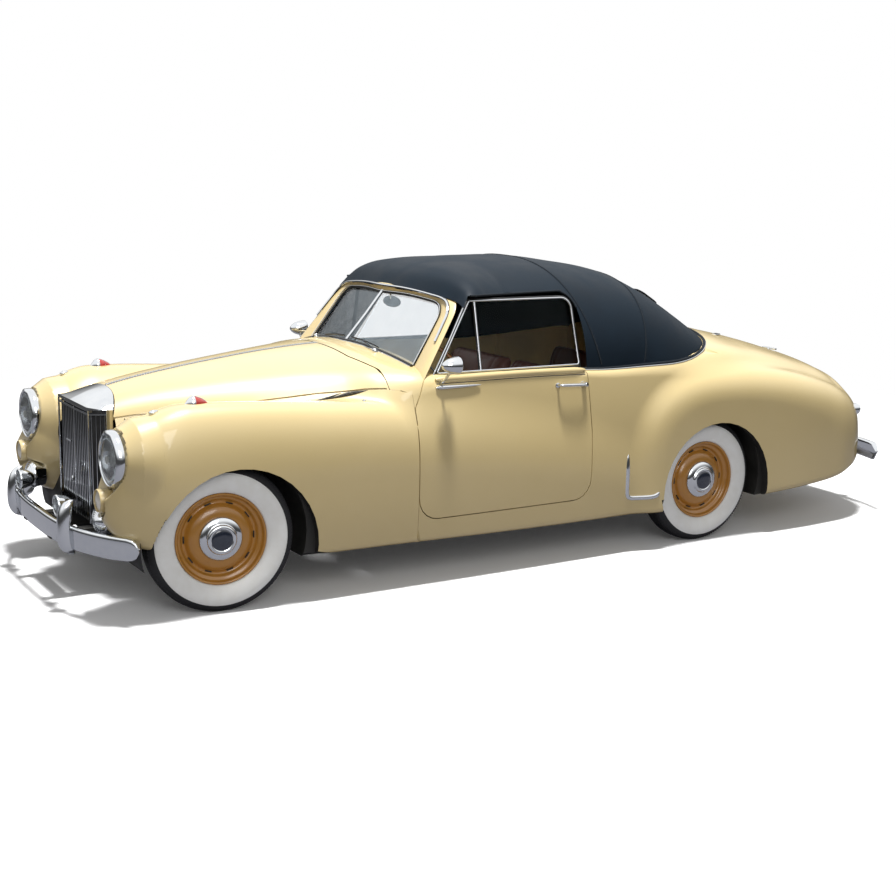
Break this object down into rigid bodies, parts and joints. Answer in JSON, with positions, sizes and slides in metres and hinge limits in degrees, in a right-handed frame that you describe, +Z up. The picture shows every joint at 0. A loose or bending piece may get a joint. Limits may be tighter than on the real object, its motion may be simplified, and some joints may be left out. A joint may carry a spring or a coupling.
{
  "type": "vintage drophead coupe car",
  "caption": "Post-war drophead coupe with its fabric top up, slatted upright grille, inset headlamps, whitewall tyres on steel wheels, opening doors, bonnet halves and boot.",
  "frame": {"origin": "on the ground, under the centre of the bounding box", "axes": "+X to the car's left, -Y to the car's front, +Z up"},
  "size_m": [1.794, 5.0986, 1.579],
  "materials": {
    "cream_paint": "gloss cream coachwork enamel",
    "ochre_paint": "gloss ochre enamel on pressed steel wheels",
    "chassis_paint": "satin black chassis paint",
    "engine_iron": "rough casting",
    "chrome": "polished chromium plate",
    "window_glass": "clear safety glass",
    "red_lens": "moulded red lens",
    "top_fabric": "dark blue-black woven canvas",
    "seat_leather": "brown grained hide",
    "dark_trim": "dark varnished fascia",
    "wheel_rim_plastic": "glossy tan moulding",
    "tyre_rubber": "cross-ply rubber with a wide white band"
  },
  "bodies": {
    "body": {"body_tub": "cream_paint", "bonnet_hinge": "chrome", "chassis_frame": "chassis_paint", "dashboard": "dark_trim", "engine_block": "engine_iron", "front_bumper": "chrome", "front_seat": "seat_leather", "front_suspension": "chassis_paint", "front_wing_left": "cream_paint", "front_wing_right": "cream_paint", "headlamp_left": "chrome", "headlamp_right": "chrome", "horn_left": "chrome", "horn_right": "chrome", "nose_panel": "cream_paint", "pass_lamp_left": "cream_paint", "pass_lamp_right": "cream_paint", "radiator_cap": "chrome", "radiator_grille": "chrome", "rear_axle": "chassis_paint", "rear_bumper": "chrome", "rear_seat": "seat_leather", "rear_window": "window_glass", "soft_top": "top_fabric", "stone_guard_left": "chrome", "stone_guard_right": "chrome", "tail_lamp_left": "red_lens", "tail_lamp_right": "red_lens", "windscreen_glass": "window_glass", "windscreen_surround": "chrome"},
    "door_left": {"door_left": "cream_paint", "window_frame_left": "chrome", "door_glass_left": "window_glass", "door_handle_left": "chrome", "mirror_left": "chrome"},
    "door_right": {"door_right": "cream_paint", "window_frame_right": "chrome", "door_glass_right": "window_glass", "door_handle_right": "chrome", "mirror_right": "chrome"},
    "bonnet_left": {"bonnet_left": "cream_paint"},
    "bonnet_right": {"bonnet_right": "cream_paint"},
    "boot_lid": {"boot_lid": "cream_paint"},
    "steering_wheel": {"steering_wheel": "wheel_rim_plastic"},
    "knuckle_left": {"knuckle_left": "chassis_paint"},
    "knuckle_right": {"knuckle_right": "chassis_paint"},
    "wheel_front_left": {"wheel_front_left": "ochre_paint", "tyre_front_left": "tyre_rubber"},
    "wheel_front_right": {"wheel_front_right": "ochre_paint", "tyre_front_right": "tyre_rubber"},
    "wheel_rear_left": {"wheel_rear_left": "ochre_paint", "tyre_rear_left": "tyre_rubber"},
    "wheel_rear_right": {"wheel_rear_right": "ochre_paint", "tyre_rear_right": "tyre_rubber"}
  },
  "joints": [
    {"name": "door_left_hinge", "type": "hinge", "parent": "body", "child": "door_left", "pos_m": [0.833, -0.875, 0.6], "axis": [0, 0, -1], "range_deg": [0, 65]},
    {"name": "door_right_hinge", "type": "hinge", "parent": "body", "child": "door_right", "pos_m": [-0.833, -0.875, 0.6], "axis": [0, 0, 1], "range_deg": [0, 65]},
    {"name": "bonnet_left_hinge", "type": "hinge", "parent": "body", "child": "bonnet_left", "pos_m": [0, -2.167, 1.007], "axis": [0, -0.9917, -0.1282], "range_deg": [0, 50]},
    {"name": "bonnet_right_hinge", "type": "hinge", "parent": "body", "child": "bonnet_right", "pos_m": [0, -2.167, 1.007], "axis": [0, 0.9917, 0.1282], "range_deg": [0, 50]},
    {"name": "boot_lid_hinge", "type": "hinge", "parent": "body", "child": "boot_lid", "pos_m": [0, 1.485, 1.12], "axis": [1, 0, 0], "range_deg": [0, 50]},
    {"name": "steer_left", "type": "hinge", "parent": "body", "child": "knuckle_left", "pos_m": [0.605, -1.87, 0.352], "axis": [0, 0, 1], "range_deg": [-21, 35]},
    {"name": "steer_right", "type": "hinge", "parent": "body", "child": "knuckle_right", "pos_m": [-0.605, -1.87, 0.352], "axis": [0, 0, 1], "range_deg": [-21, 35]},
    {"name": "steering_column", "type": "hinge", "parent": "body", "child": "steering_wheel", "pos_m": [0.36, -0.44, 0.945], "axis": [0, 0.9136, 0.4067], "range_deg": [-336, 560]},
    {"name": "spin_front_left", "type": "hinge", "parent": "knuckle_left", "child": "wheel_front_left", "pos_m": [0.6993, -1.8816, 0.352], "axis": [0.9925, -0.1219, 0], "continuous": true},
    {"name": "spin_front_right", "type": "hinge", "parent": "knuckle_right", "child": "wheel_front_right", "pos_m": [-0.6993, -1.8584, 0.352], "axis": [0.9925, -0.1219, 0], "continuous": true},
    {"name": "spin_rear_left", "type": "hinge", "parent": "body", "child": "wheel_rear_left", "pos_m": [0.7, 1.01, 0.352], "axis": [1, 0, 0], "continuous": true},
    {"name": "spin_rear_right", "type": "hinge", "parent": "body", "child": "wheel_rear_right", "pos_m": [-0.7, 1.01, 0.352], "axis": [1, 0, 0], "continuous": true}
  ],
  "couplings": [
    {"joint": "steer_right", "follows": "steer_left", "ratio": 1},
    {"joint": "steering_column", "follows": "steer_left", "ratio": 16}
  ]
}
